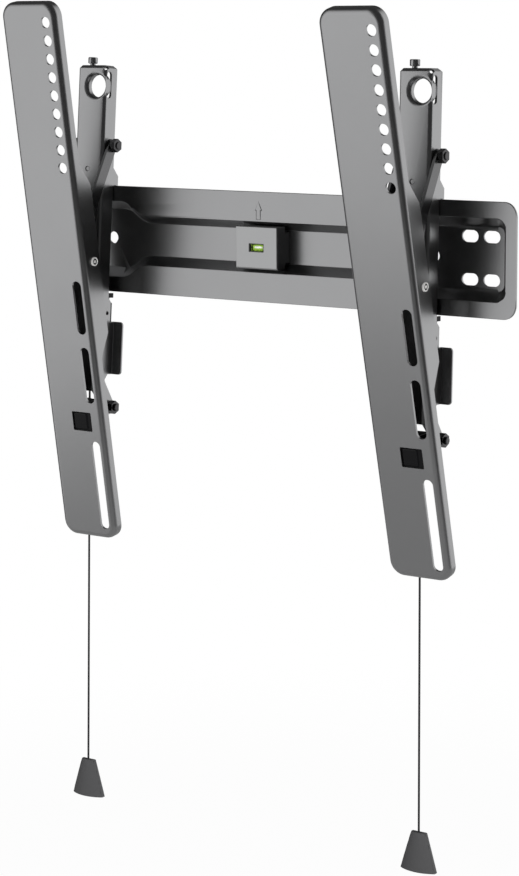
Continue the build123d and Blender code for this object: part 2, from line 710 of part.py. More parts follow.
def latch_form():
    """Sliding latch: a folded plate with two teeth under the plate's edge and a tab for the cord."""
    width = LATCH_RIGHT - LATCH_LEFT
    with BuildPart() as latch:
        with BuildSketch(Plane.YZ.offset(LATCH_LEFT)):
            with BuildLine():
                Polyline(
                    (LATCH_FRONT, LATCH_TOP),
                    (LATCH_FRONT + LATCH_THICK, LATCH_TOP),
                    (LATCH_BACK, TOOTH_TOP + LATCH_TOE),
                    (LATCH_BACK, TOOTH_TOP),
                    (TOOTH_BACK, TOOTH_TOP),
                    (TOOTH_BACK, TOOTH_TOP - TOOTH_THICK),
                    (TOOTH_NECK, TOOTH_TOP - TOOTH_THICK),
                    (TOOTH_NECK, CHEEK_TOP),
                    (CHEEK_BACK, CHEEK_TOP - LATCH_THICK),
                    (CHEEK_BACK, LATCH_BOTTOM + LATCH_TOE),
                    (TAB_BACK, LATCH_BOTTOM + TAB_THICK),
                    (TAB_BACK, LATCH_BOTTOM),
                    (LATCH_FRONT, LATCH_BOTTOM),
                    close=True,
                )
            make_face()
        extrude(amount=width)
        with BuildSketch(Plane.YZ.offset(LATCH_LEFT + LATCH_THICK)):
            with Locations((LATCH_FRONT + LATCH_THICK + width, (LATCH_TOP + LATCH_BOTTOM) / 2)):
                Rectangle(2 * width, LATCH_TOP - LATCH_BOTTOM + SHEET)
        extrude(amount=width - 2 * LATCH_THICK, mode=Mode.SUBTRACT)
        with BuildSketch(Plane.YZ.offset(LATCH_RIGHT - LATCH_THICK)):
            with Locations((LATCH_BACK + width / 2, LATCH_BOTTOM)):
                Rectangle(width, 2 * LATCH_TOE)
        extrude(amount=LATCH_THICK, mode=Mode.SUBTRACT)
    return latch.part


def latch_spring_form():
    """Closed sleeve with the outer shape of the latch's return spring."""
    with BuildPart() as spring:
        with BuildSketch(Plane.XY.offset(LATCH_TOP)):
            with Locations((BRACKET_MIDDLE, SPRING_Y)):
                Circle(SPRING_RADIUS)
                Circle(SPRING_BORE, mode=Mode.SUBTRACT)
        extrude(amount=SPRING_HOOK_Z - LATCH_TOP)
    return spring.part


def ferrule_form():
    """Ferrule that holds the cord under the latch's tab."""
    with BuildPart() as ferrule:
        with BuildSketch(Plane.XY.offset(LATCH_BOTTOM - FERRULE_LENGTH)):
            with Locations((CORD_X, CORD_Y)):
                Circle(FERRULE_RADIUS)
        extrude(amount=FERRULE_LENGTH)
    return ferrule.part


def handle_face(height, width, side, bulge):
    """Section of a pull handle: flat back, two flat sides and a bulged front."""
    with BuildSketch(Plane.XY.offset(height)) as face:
        with BuildLine():
            Polyline((-width / 2, HANDLE_BACK - side), (-width / 2, HANDLE_BACK), (width / 2, HANDLE_BACK),
                     (width / 2, HANDLE_BACK - side))
            ThreePointArc((width / 2, HANDLE_BACK - side), (0, HANDLE_BACK - side - bulge),
                          (-width / 2, HANDLE_BACK - side))
        make_face()
    return face.sketch


def handle_form():
    """Pull handle under a cord, with the cord's end at the origin."""
    top = handle_face(0, HANDLE_TOP_WIDTH, HANDLE_TOP_SIDE, HANDLE_TOP_BULGE)
    bottom = handle_face(-HANDLE_HEIGHT, HANDLE_BOTTOM_WIDTH, HANDLE_BOTTOM_SIDE, HANDLE_BOTTOM_BULGE)
    with BuildPart() as handle:
        loft([bottom, top], ruled=True)
    return handle.part


def cord_form(route, radii):
    """Cord along its route, with an arc of the given radius at each inner point."""
    with BuildPart() as cord:
        with BuildLine() as path:
            if radii:
                FilletPolyline(*route, radius=radii)
            else:
                Line(*route)
        with BuildSketch(Plane(path.line @ 0, z_dir=path.line % 0)):
            Circle(CORD_RADIUS)
        sweep()
    return cord.part


# Wall plate with its level
save(wall_plate_form(), Location(), "wall_plate")
save(level_housing_form(), Location(), "level_housing")
save(level_vial_form(), Location(), "level_vial")

# Pieces that both sides share, drawn once in the bracket's frame
strut_left_x = -BRACKET_WIDTH - STRUT_GAP - STRUT_THICK
bolt_overhang = STRUT_GAP + STRUT_THICK + SIDE_PLAY + NUT_THICK + BOLT_OVERHANG
pivot_gap = 1.5
pivot_overhang = pivot_gap + NUT_THICK + 2 * BOLT_OVERHANG
carrier_left = BRACKET_MIDDLE - CARRIER_HALF
carrier_right = BRACKET_MIDDLE + CARRIER_HALF
washers = ((0, WASHER_THICK), (-BRACKET_WIDTH - WASHER_THICK, -BRACKET_WIDTH))
pivot_washers = ((0, pivot_gap), (-BRACKET_WIDTH - pivot_gap, -BRACKET_WIDTH))
spacer_spans = ((SHEET - BRACKET_WIDTH, carrier_left - SIDE_PLAY), (carrier_right + SIDE_PLAY, -SHEET))
barrel_span = ((carrier_left + SHEET, carrier_right - SHEET),)
bracket_pieces = {
    "bracket": bracket_form(),
    "upper_bolt": cross_bolt_form(BOLT_Y, BOLT_Z, bolt_overhang),
    "upper_nuts": nuts_form(BOLT_Y, BOLT_Z, STRUT_GAP + STRUT_THICK + SIDE_PLAY),
    "upper_washers": rings_form(BOLT_Y, BOLT_Z, washers, WASHER_RADIUS),
    "pivot_bolt": cross_bolt_form(PIVOT_Y, PIVOT_Z, pivot_overhang),
    "pivot_nuts": nuts_form(PIVOT_Y, PIVOT_Z, pivot_gap),
    "pivot_washers": rings_form(PIVOT_Y, PIVOT_Z, pivot_washers, WASHER_RADIUS),
    "pivot_spacers": rings_form(PIVOT_Y, PIVOT_Z, spacer_spans, PIVOT_SPACER_RADIUS),
    "adjusting_screw": adjusting_screw_form(),
    "latch": latch_form(),
    "latch_spring": latch_spring_form(),
    "cord_ferrule": ferrule_form(),
}
arm_pieces = {
    "tv_arm": arm_form(),
    "hinge_carrier": carrier_form(),
    "pivot_barrel": rings_form(0, 0, barrel_span, BARREL_RADIUS),
    "strut_rivets": strut_rivets_form(),
}
strut_pieces = {"strut_a": strut_form(strut_left_x), "strut_b": strut_form(STRUT_GAP)}
handle = handle_form()

# Each side's copies, in its own frames
for side in ("left", "right"):
    for name, form in bracket_pieces.items():
        save(form, bracket_frame(side), f"{side}_{name}")
    for name, form in arm_pieces.items():
        save(form, arm_frame(side), f"{side}_{name}")
    for name, form in strut_pieces.items():
        save(form, strut_frame(side), f"{side}_{name}")
    ferrule_bottom = (bracket_frame(side) * Location((CORD_X, CORD_Y, LATCH_BOTTOM - FERRULE_LENGTH))).position
    if side == "left":
        route = (ferrule_bottom, LEFT_CORD_END)
        radii = ()
    else:
        route = (ferrule_bottom, RIGHT_CORD_EDGE, RIGHT_CORD_END)
        radii = (CORD_EDGE_RADIUS,)
    print(side, "cord radii", radii, "strut lean", round(strut_lean(TILT[side]), 2))
    save(cord_form(route, radii), Location(), f"{side}_cord")
    save(handle, Location(route[-1]), f"{side}_handle")
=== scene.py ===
import json
import math

import bmesh
import bpy
import numpy as np
from mathutils import Matrix, Vector


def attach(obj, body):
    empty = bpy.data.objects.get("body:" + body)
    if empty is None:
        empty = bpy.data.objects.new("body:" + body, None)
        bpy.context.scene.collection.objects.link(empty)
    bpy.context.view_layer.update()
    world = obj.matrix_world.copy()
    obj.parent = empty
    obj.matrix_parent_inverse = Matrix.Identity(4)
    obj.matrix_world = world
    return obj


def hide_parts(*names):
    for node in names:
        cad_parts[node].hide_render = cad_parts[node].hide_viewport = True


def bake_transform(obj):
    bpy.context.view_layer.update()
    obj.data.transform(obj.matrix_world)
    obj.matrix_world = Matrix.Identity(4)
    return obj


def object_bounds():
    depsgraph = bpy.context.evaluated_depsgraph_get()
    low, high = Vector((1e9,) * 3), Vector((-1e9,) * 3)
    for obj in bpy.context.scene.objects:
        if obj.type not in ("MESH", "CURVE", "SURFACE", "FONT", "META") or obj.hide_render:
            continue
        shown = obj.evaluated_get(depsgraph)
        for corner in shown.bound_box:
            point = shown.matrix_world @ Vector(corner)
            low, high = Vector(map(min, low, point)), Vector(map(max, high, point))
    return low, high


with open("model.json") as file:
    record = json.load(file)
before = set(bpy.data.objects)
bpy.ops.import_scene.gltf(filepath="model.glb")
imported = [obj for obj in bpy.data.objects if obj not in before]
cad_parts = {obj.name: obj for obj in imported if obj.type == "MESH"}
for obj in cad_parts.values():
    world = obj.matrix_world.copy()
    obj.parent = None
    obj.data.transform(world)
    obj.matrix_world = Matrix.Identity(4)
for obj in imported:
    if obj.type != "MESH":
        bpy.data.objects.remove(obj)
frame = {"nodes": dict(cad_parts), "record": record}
cad_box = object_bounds()

# Camera. A product photograph from the room, to the right of the bracket and a little above it,
# with a long lens and a small roll. It looks at a point just below the wall plate.
AZIMUTH = math.radians(35.74)
ELEVATION = math.radians(9.44)
ROLL = math.radians(-0.372)
DISTANCE = 2.0954
TARGET = Vector((-0.008658, -0.001582, -0.160311))
FOCAL_PIXELS = 2517.7
PHOTO_HEIGHT = 876.0
SENSOR_HEIGHT = 24.0
FARTHEST_SEEN = 50.0

gaze = Vector((
    -math.sin(AZIMUTH) * math.cos(ELEVATION),
    math.cos(AZIMUTH) * math.cos(ELEVATION),
    -math.sin(ELEVATION),
))
level_right = Vector((math.cos(AZIMUTH), math.sin(AZIMUTH), 0.0))
level_up = level_right.cross(gaze)
right = level_right * math.cos(ROLL) + level_up * math.sin(ROLL)
up = right.cross(gaze)
camera_data = bpy.data.cameras.new("camera")
camera_data.sensor_fit = "VERTICAL"
camera_data.sensor_height = SENSOR_HEIGHT
camera_data.lens = SENSOR_HEIGHT * FOCAL_PIXELS / PHOTO_HEIGHT
camera_data.clip_end = FARTHEST_SEEN
camera = bpy.data.objects.new("camera", camera_data)
bpy.context.scene.collection.objects.link(camera)
camera.matrix_world = Matrix((
    (right.x, up.x, -gaze.x, TARGET.x - DISTANCE * gaze.x),
    (right.y, up.y, -gaze.y, TARGET.y - DISTANCE * gaze.y),
    (right.z, up.z, -gaze.z, TARGET.z - DISTANCE * gaze.z),
    (0.0, 0.0, 0.0, 1.0),
))
bpy.context.scene.camera = camera
bpy.context.scene.view_settings.view_transform = "Standard"

# Studio. A white room whose background is plain white. A tall soft light stands on the left and
# another behind on the right, dark flags between them keep the folds of the sheets dark, and a
# soft fill from the right lifts the matt pieces.
FLAG_LEVEL = 0.08
LIGHT_LEVEL = 1.28
FRONT_LIGHT = Vector((-0.60, -0.70, -0.30)).normalized()
BACK_LIGHT = Vector((0.55, 0.80, -0.02)).normalized()
LIGHT_EDGE_LOW = 0.70
LIGHT_EDGE_HIGH = 0.97
LIGHT_SQUEEZE = 0.5
FILL_FROM = Vector((0.77, -0.62, 0.15)).normalized()
FILL_LEVEL = 3.4
FILL_WIDTH = math.radians(35.0)
WHITE = (1.0, 1.0, 1.0, 1.0)


def link(tree, start, end):
    """Joins one node's output socket to another node's input socket."""
    tree.links.new(start, end)


def computed(tree, kind, operation, *values):
    """Math or vector math node on values, each a socket, a number or a vector."""
    node = tree.nodes.new(kind)
    node.operation = operation
    for place, value in enumerate(values):
        if isinstance(value, bpy.types.NodeSocket):
            link(tree, value, node.inputs[place])
        else:
            node.inputs[place].default_value = value
    return node


def math_node(tree, operation, *values):
    """Output of a math node on up to three values."""
    return computed(tree, "ShaderNodeMath", operation, *values).outputs[0]


def vector_node(tree, operation, *values):
    """Math node on vectors, with its results in the outputs Vector and Value."""
    return computed(tree, "ShaderNodeVectorMath", operation, *values)


def smooth_range(tree, value, lowest, highest):
    """Map Range node that rises by a smooth step while the value goes from lowest to highest."""
    node = tree.nodes.new("ShaderNodeMapRange")
    node.interpolation_type = "SMOOTHSTEP"
    node.inputs["From Min"].default_value = lowest
    node.inputs["From Max"].default_value = highest
    link(tree, value, node.inputs["Value"])
    return node


def shown_white(tree, in_gloss):
    """White seen from the camera and through glass (1), and in gloss at the given share."""
    path = tree.nodes.new("ShaderNodeLightPath").outputs
    direct = math_node(tree, "MAXIMUM", path["Is Camera Ray"], path["Is Transmission Ray"])
    gloss = math_node(tree, "MULTIPLY", path["Is Glossy Ray"], in_gloss)
    return math_node(tree, "MAXIMUM", direct, gloss)


def soft_light(tree, direction, towards):
    """Brightness of one soft light, twice as tall as wide: a smooth step on the cosine between a
    ray and the light, with both heights halved first."""
    squeeze = Vector((1.0, 1.0, LIGHT_SQUEEZE))
    lower = vector_node(tree, "MULTIPLY", direction, squeeze)
    unit = vector_node(tree, "NORMALIZE", lower.outputs["Vector"])
    dot = vector_node(tree, "DOT_PRODUCT", unit.outputs["Vector"], (towards * squeeze).normalized())
    return smooth_range(
        tree, dot.outputs["Value"], LIGHT_EDGE_LOW, LIGHT_EDGE_HIGH
    ).outputs["Result"]


world = bpy.data.worlds.new("studio")
bpy.context.scene.world = world
world.use_nodes = True
sky = world.node_tree
sky.nodes.clear()
sky_direction = sky.nodes.new("ShaderNodeTexCoord").outputs["Generated"]
lit = math_node(
    sky, "MAXIMUM",
    soft_light(sky, sky_direction, FRONT_LIGHT), soft_light(sky, sky_direction, BACK_LIGHT),
)
strength = math_node(sky, "MULTIPLY_ADD", lit, LIGHT_LEVEL - FLAG_LEVEL, FLAG_LEVEL)
shown = math_node(sky, "MAXIMUM", strength, shown_white(sky, FLAG_LEVEL))
sky_light = sky.nodes.new("ShaderNodeBackground")
sky_light.inputs["Color"].default_value = WHITE
link(sky, shown, sky_light.inputs["Strength"])
sky_end = sky.nodes.new("ShaderNodeOutputWorld")
link(sky, sky_light.outputs["Background"], sky_end.inputs["Surface"])
fill_data = bpy.data.lights.new("fill", "SUN")
fill_data.energy = FILL_LEVEL
fill_data.angle = FILL_WIDTH
fill = bpy.data.objects.new("fill", fill_data)
bpy.context.scene.collection.objects.link(fill)
fill.rotation_euler = FILL_FROM.to_track_quat("Z", "Y").to_euler()
fill.visible_glossy = False

# Floor. A pale paper sheet well below the hanging handles; it keeps a faint shadow of the
# bracket, and its shade fades out towards its edges into the white room.
FLOOR_BELOW = 0.06
FLOOR_HALF = 0.9
FLOOR_SHADE = 0.03
FADE_START = 0.35
FADE_END = 0.95
FLOOR_IN_GLOSS = 0.25
FLOOR_COLOUR = (0.80, 0.80, 0.80, 1.0)

floor_level = cad_box[0][2] - FLOOR_BELOW
floor_mesh = bpy.data.meshes.new("floor")
floor_mesh.from_pydata(
    [
        (-FLOOR_HALF, -FLOOR_HALF, floor_level), (FLOOR_HALF, -FLOOR_HALF, floor_level),
        (FLOOR_HALF, FLOOR_HALF, floor_level), (-FLOOR_HALF, FLOOR_HALF, floor_level),
    ],
    [], [(0, 1, 2, 3)],
)
floor = bpy.data.objects.new("floor", floor_mesh)
bpy.context.scene.collection.objects.link(floor)
floor_paper = bpy.data.materials.new("floor_paper")
floor_paper.use_nodes = True
paper = floor_paper.node_tree
paper.nodes.clear()
matt = paper.nodes.new("ShaderNodeBsdfDiffuse")
matt.inputs["Color"].default_value = FLOOR_COLOUR
glow = paper.nodes.new("ShaderNodeEmission")
glow.inputs["Color"].default_value = WHITE
blend = paper.nodes.new("ShaderNodeMixShader")
floor_place = paper.nodes.new("ShaderNodeTexCoord").outputs["Object"]
floor_centred = vector_node(paper, "SUBTRACT", floor_place, (0.0, 0.0, floor_level))
floor_radius = vector_node(paper, "LENGTH", floor_centred.outputs["Vector"])
fade = smooth_range(
    paper, floor_radius.outputs["Value"], FLOOR_HALF * FADE_START, FLOOR_HALF * FADE_END
)
fade.inputs["To Min"].default_value = 1.0 - FLOOR_SHADE
fade.inputs["To Max"].default_value = 1.0
share = math_node(
    paper, "MULTIPLY", shown_white(paper, FLOOR_IN_GLOSS), fade.outputs["Result"]
)
link(paper, share, blend.inputs[0])
link(paper, matt.outputs[0], blend.inputs[1])
link(paper, glow.outputs[0], blend.inputs[2])
floor_end = paper.nodes.new("ShaderNodeOutputMaterial")
link(paper, blend.outputs[0], floor_end.inputs["Surface"])
floor_mesh.materials.append(floor_paper)

# Wall plate. One pressed steel sheet with a long channel and two wide pockets, powder coated in
# satin black. It keeps its form from the frame, with its cut edges broken, and is screwed to the
# wall through the slots in its pockets.
COAT_COLOUR = (0.295, 0.296, 0.300, 1.0)
COAT_ROUGHNESS = 0.31
COAT_METAL = 1.0
COAT_GRAIN = 1400.0
COAT_BUMP = 0.012
GRAIN_DETAIL = 2.0
CLOUD_SCALE = 22.0
MILLIMETRE = 0.001
PLATE_EDGE = 0.0004
PLATE_SMOOTH = math.radians(16.0)
SHEET_SMOOTH = math.radians(32.0)
FLAT_ANGLE = math.radians(0.1)
FRAME_WELD = 2e-6
ROUND_SEGMENTS = 2
LARGE_FACES_FIRST = 100

body_of = {
    node: body
    for body, nodes in frame["record"]["behaviour"]["bodies"].items()
    for node in nodes
}


def finish_material(name, colour, roughness, metal, grain, bump, cloud=0.03):
    """Coated or moulded surface: one colour, fine grain in its relief with bump as its height in
    millimetres, and a faint cloud that moves its roughness up and down by cloud."""
    finish = bpy.data.materials.new(name)
    finish.use_nodes = True
    tree = finish.node_tree
    shader = tree.nodes["Principled BSDF"]
    shader.inputs["Base Color"].default_value = colour
    shader.inputs["Metallic"].default_value = metal
    place = tree.nodes.new("ShaderNodeTexCoord").outputs["Object"]
    noise = tree.nodes.new("ShaderNodeTexNoise")
    noise.inputs["Scale"].default_value = grain
    noise.inputs["Detail"].default_value = GRAIN_DETAIL
    link(tree, place, noise.inputs["Vector"])
    relief = tree.nodes.new("ShaderNodeBump")
    relief.inputs["Strength"].default_value = 1.0
    relief.inputs["Distance"].default_value = bump * MILLIMETRE
    link(tree, noise.outputs["Fac"], relief.inputs["Height"])
    link(tree, relief.outputs["Normal"], shader.inputs["Normal"])
    wide = tree.nodes.new("ShaderNodeTexNoise")
    wide.inputs["Scale"].default_value = CLOUD_SCALE
    link(tree, place, wide.inputs["Vector"])
    ramp = tree.nodes.new("ShaderNodeMapRange")
    ramp.inputs["To Min"].default_value = roughness - cloud
    ramp.inputs["To Max"].default_value = roughness + cloud
    link(tree, wide.outputs["Fac"], ramp.inputs["Value"])
    link(tree, ramp.outputs["Result"], shader.inputs["Roughness"])
    return finish


def broken_edges(node, edge, material, smooth=SHEET_SMOOTH):
    """Copy of a frame node with its loose triangles joined and its sharp edges given a small round
    of the width edge, but not where a seam across a flat face ends on them. A width of 0 leaves
    every edge sharp. Faces that meet at less than smooth share their shading."""
    mesh = frame["nodes"][node].data.copy()
    joined = bmesh.new()
    joined.from_mesh(mesh)
    bmesh.ops.remove_doubles(joined, verts=joined.verts, dist=FRAME_WELD)
    bmesh.ops.dissolve_limit(
        joined, angle_limit=FLAT_ANGLE, verts=joined.verts, edges=joined.edges
    )
    rounded = joined.edges.layers.float.new("bevel_weight_edge")
    seam_ends = {
        vertex for fold in joined.edges if len(fold.link_faces) == 2
        and fold.calc_face_angle() < FLAT_ANGLE for vertex in fold.verts
    }
    for fold in joined.edges:
        if len(fold.link_faces) == 2 and fold.calc_face_angle() > SHEET_SMOOTH:
            fold[rounded] = 0.0 if seam_ends.intersection(fold.verts) else 1.0
    joined.to_mesh(mesh)
    joined.free()
    mesh.polygons.foreach_set("use_smooth", np.ones(len(mesh.polygons), dtype=bool))
    mesh.set_sharp_from_angle(angle=smooth)
    mesh.materials.clear()
    mesh.materials.append(material)
    piece = bpy.data.objects.new(node + "_finished", mesh)
    bpy.context.scene.collection.objects.link(piece)
    if edge:
        rounds = piece.modifiers.new("broken edges", "BEVEL")
        rounds.width = edge
        rounds.segments = ROUND_SEGMENTS
        rounds.limit_method = "WEIGHT"
        rounds.use_clamp_overlap = False
    flats = piece.modifiers.new("flat faces", "WEIGHTED_NORMAL")
    flats.weight = LARGE_FACES_FIRST
    flats.keep_sharp = True
    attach(piece, body_of[node])
    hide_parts(node)
    return piece


powder_coat = finish_material(
    "powder_coat", COAT_COLOUR, COAT_ROUGHNESS, COAT_METAL, COAT_GRAIN, COAT_BUMP
)
broken_edges("wall_plate", PLATE_EDGE, powder_coat, smooth=PLATE_SMOOTH)

# Bubble level. A moulded box with the plate's own tone, pressed into the channel. Behind its
# window lies a glass vial of yellow-green spirit with two black rings; a black sleeve inside the
# window is painted shade, and a long white air bubble on the vial's front is also a painted
# highlight.
LEVEL_COLOUR = (0.33, 0.332, 0.335, 1.0)
LEVEL_EDGE = 0.0006
SPIRIT_COLOUR = (0.36, 0.60, 0.07, 1.0)
BUBBLE_AND_HIGHLIGHT_COLOUR = (0.93, 0.95, 0.90, 1.0)
# Black of the vial's printed rings; the same black is also painted shade, in the window sleeve and
# in the rivet wells.
RING_AND_SHADE_BLACK = (0.01, 0.01, 0.01, 1.0)
VIAL_X = 0.0025
VIAL_Y = -0.0130
VIAL_HALF = 0.0129
VIAL_RADIUS = 0.0041
VIAL_ROUND = 0.0012
VIAL_STEPS = 17
# The air bubble is long, near white and sits at mid height proud of the vial's front, so it is also
# a painted highlight streak along the glass.
BUBBLE_HALF = 0.0050
BUBBLE_RADIUS = 0.0010
BUBBLE_Y = VIAL_Y - 0.0035
BUBBLE_Z = 0.0002
BUBBLE_STEPS = 15
RING_X = 0.0058
RING_HALF = 0.0005
RING_RADIUS = 0.00416
RING_DEPTH = 0.0002
# Half sizes and depth of a black sleeve inside the level's window: painted shade cast by the
# window's walls on the recess round the vial.
WINDOW_SHADE_WIDE = (0.0074, 0.0068)
WINDOW_SHADE_TALL = (0.0034, 0.0029)
WINDOW_SHADE_FRONT = -0.0196
WINDOW_SHADE_BACK = -0.0170
ROUND_STEPS = 48
TURNED_SMOOTH = math.radians(40.0)
NEARLY_UPRIGHT = 0.9
POLE_WELD = 1e-7


def grid_faces(rows, steps):
    """Four-cornered faces between the points of a grid whose rows are closed rings: corner k of
    face (row, step) is one step or one row further, and the last step meets the first."""
    row, step = np.meshgrid(np.arange(rows - 1), np.arange(steps), indexing="ij")
    after = (step + 1) % steps
    return np.stack([
        row * steps + step, row * steps + after,
        (row + 1) * steps + after, (row + 1) * steps + step,
    ], axis=-1).reshape(-1, 4).tolist()


def closed_outward(mesh):
    """Merges a mesh's doubled points, fills its open ends and turns its faces outward."""
    closed = bmesh.new()
    closed.from_mesh(mesh)
    bmesh.ops.remove_doubles(closed, verts=closed.verts, dist=POLE_WELD)
    bmesh.ops.holes_fill(closed, edges=[edge for edge in closed.edges if edge.is_boundary])
    bmesh.ops.recalc_face_normals(closed, faces=closed.faces)
    closed.to_mesh(mesh)
    closed.free()


def turned_mesh(name, along, radius, centre, axis):
    """Surface of revolution: each row of points is a circle of the given radius at the given
    distance along an axis, p = centre + along * axis + radius * (cos u * side + sin u * up)."""
    axis = np.array(axis, dtype=float)
    axis /= np.linalg.norm(axis)
    guide = np.array((0.0, 0.0, 1.0) if abs(axis[2]) < NEARLY_UPRIGHT else (1.0, 0.0, 0.0))
    side_way = np.cross(axis, guide)
    side_way /= np.linalg.norm(side_way)
    up_way = np.cross(axis, side_way)
    turn = np.linspace(0.0, 2.0 * np.pi, ROUND_STEPS, endpoint=False)
    along = np.asarray(along, dtype=float)[:, None, None]
    radius = np.asarray(radius, dtype=float)
    if radius.ndim == 1:
        radius = radius[:, None]
    radius = np.broadcast_to(radius, (len(along), ROUND_STEPS))[:, :, None]
    outward = np.cos(turn)[:, None] * side_way + np.sin(turn)[:, None] * up_way
    points = np.array(centre, dtype=float) + along * axis + radius * outward
    mesh = bpy.data.meshes.new(name)
    mesh.from_pydata(points.reshape(-1, 3).tolist(), [], grid_faces(len(along), ROUND_STEPS))
    closed_outward(mesh)
    mesh.polygons.foreach_set("use_smooth", np.ones(len(mesh.polygons), dtype=bool))
    mesh.set_sharp_from_angle(angle=TURNED_SMOOTH)
    return mesh


def new_piece(name, mesh, material, body):
    """Object of a new mesh with its material, riding on a body of the frame."""
    mesh.materials.append(material)
    piece = bpy.data.objects.new(name, mesh)
    bpy.context.scene.collection.objects.link(piece)
    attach(piece, body)
    return piece


def shader_value(material, socket, value):
    """Sets one more socket of a finish's shader."""
    material.node_tree.nodes["Principled BSDF"].inputs[socket].default_value = value


level_plastic = finish_material(
    "level_plastic", LEVEL_COLOUR, roughness=0.33, metal=1.0, grain=900.0, bump=0.008
)
broken_edges("level_housing", LEVEL_EDGE, level_plastic)
spirit = finish_material(
    "vial_spirit", SPIRIT_COLOUR, roughness=0.10, metal=0.0, grain=200.0, bump=0.0
)
shader_value(spirit, "Coat Weight", 1.0)
bubble_and_painted_highlight = finish_material(
    "vial_bubble_and_highlight", BUBBLE_AND_HIGHLIGHT_COLOUR, roughness=0.12, metal=0.0, grain=200.0, bump=0.0
)
# Black for the printed rings, also used as painted shade for the window sleeve.
ring_ink_and_window_shade = finish_material(
    "vial_ring", RING_AND_SHADE_BLACK, roughness=0.30, metal=0.0, grain=200.0, bump=0.0
)
vial_turn = np.linspace(-0.5 * np.pi, 0.5 * np.pi, VIAL_STEPS)
vial = new_piece(
    "vial_of_spirit",
    turned_mesh(
        "vial_of_spirit",
        np.sign(np.sin(vial_turn)) * (VIAL_HALF - VIAL_ROUND) + VIAL_ROUND * np.sin(vial_turn),
        VIAL_RADIUS - VIAL_ROUND + VIAL_ROUND * np.cos(vial_turn),
        (VIAL_X, VIAL_Y, 0.0), (1.0, 0.0, 0.0),
    ),
    spirit, "base",
)
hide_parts("level_vial")
# Air bubble that also serves as a painted highlight streak on the vial's front.
bubble_turn = np.linspace(-0.5 * np.pi, 0.5 * np.pi, BUBBLE_STEPS)
new_piece(
    "vial_bubble_and_highlight",
    turned_mesh(
        "vial_bubble_and_highlight", BUBBLE_HALF * np.sin(bubble_turn), BUBBLE_RADIUS * np.cos(bubble_turn),
        (VIAL_X, BUBBLE_Y, BUBBLE_Z), (1.0, 0.0, 0.0),
    ),
    bubble_and_painted_highlight, "base",
)
# Black sleeve lining the window: painted shade of the recess, not a separate part of the level.
window_shade_corners = [
    (VIAL_X + side_x * wide, y, side_z * tall)
    for y in (WINDOW_SHADE_FRONT, WINDOW_SHADE_BACK) for wide, tall in zip(WINDOW_SHADE_WIDE, WINDOW_SHADE_TALL)
    for side_x, side_z in ((-1, -1), (1, -1), (1, 1), (-1, 1))
]
window_shade_faces = [
    face for k in range(4) for n in ((k + 1) % 4,) for face in (
        (k, n, 4 + n, 4 + k), (8 + n, 8 + k, 12 + k, 12 + n),
        (n, k, 8 + k, 8 + n), (4 + k, 4 + n, 12 + n, 12 + k),
    )
]
window_shade_mesh = bpy.data.meshes.new("window_painted_shade")
window_shade_mesh.from_pydata(window_shade_corners, [], window_shade_faces)
closed_outward(window_shade_mesh)
new_piece("window_painted_shade", window_shade_mesh, ring_ink_and_window_shade, "base")
for ring_name, ring_x in (
    ("vial_ring_left", VIAL_X - RING_X), ("vial_ring_right", VIAL_X + RING_X)
):
    new_piece(
        ring_name,
        turned_mesh(
            ring_name, (-RING_HALF, -RING_HALF, RING_HALF, RING_HALF),
            (RING_RADIUS - RING_DEPTH, RING_RADIUS, RING_RADIUS, RING_RADIUS - RING_DEPTH),
            (ring_x, VIAL_Y, 0.0), (1.0, 0.0, 0.0),
        ),
        ring_ink_and_window_shade, "base",
    )

# Hook brackets. Tall folded channels that hook over the plate's top rim, in the same satin coat,
# with hexagon bolts and nuts in black zinc through their two cross holes.
SHEET_EDGE = 0.00035
SMALL_EDGE = 0.0002
BLACK_STEEL = (0.060, 0.060, 0.062, 1.0)
SIDES = ("left_", "right_")

black_steel = finish_material(
    "black_steel", BLACK_STEEL, roughness=0.24, metal=1.0, grain=2600.0, bump=0.010
)
for side in SIDES:
    broken_edges(side + "bracket", SHEET_EDGE, powder_coat)
    for name in (
        "upper_bolt", "upper_nuts", "upper_washers", "pivot_bolt", "pivot_nuts", "pivot_washers",
        "pivot_spacers",
    ):
        broken_edges(side + name, SMALL_EDGE, black_steel)

# Adjusting screws. Grey zinc thumb screws down through the top flap of each bracket, with a
# rolled thread below and a knurled head above.
SCREW_PLACE = {
    "left_": ((-0.1706, -0.01415, 0.145891), (0.0, 0.087851, 0.996134)),
    "right_": ((0.15395, -0.019669, 0.145676), (0.0, 0.033155, 0.99945)),
}
THREAD_BOTTOM = -0.0063
THREAD_TOP = -0.0004
THREAD_RADIUS = 0.0025
THREAD_DEPTH = 0.0003
THREAD_PITCH = 0.0008
NECK_RADIUS = 0.00225
HEAD_LOW = 0.0015
HEAD_HIGH = 0.0067
HEAD_RADIUS = 0.0040
HEAD_ROUND = 0.0005
DIMPLE_RADIUS = 0.0022
DIMPLE_FLOOR = 0.0018
DIMPLE_DEPTH = 0.0006
KNURL_COUNT = 24
KNURL_DEPTH = 0.00022
SAME_RADIUS = 1e-6
SCREW_ZINC = (0.30, 0.30, 0.305, 1.0)

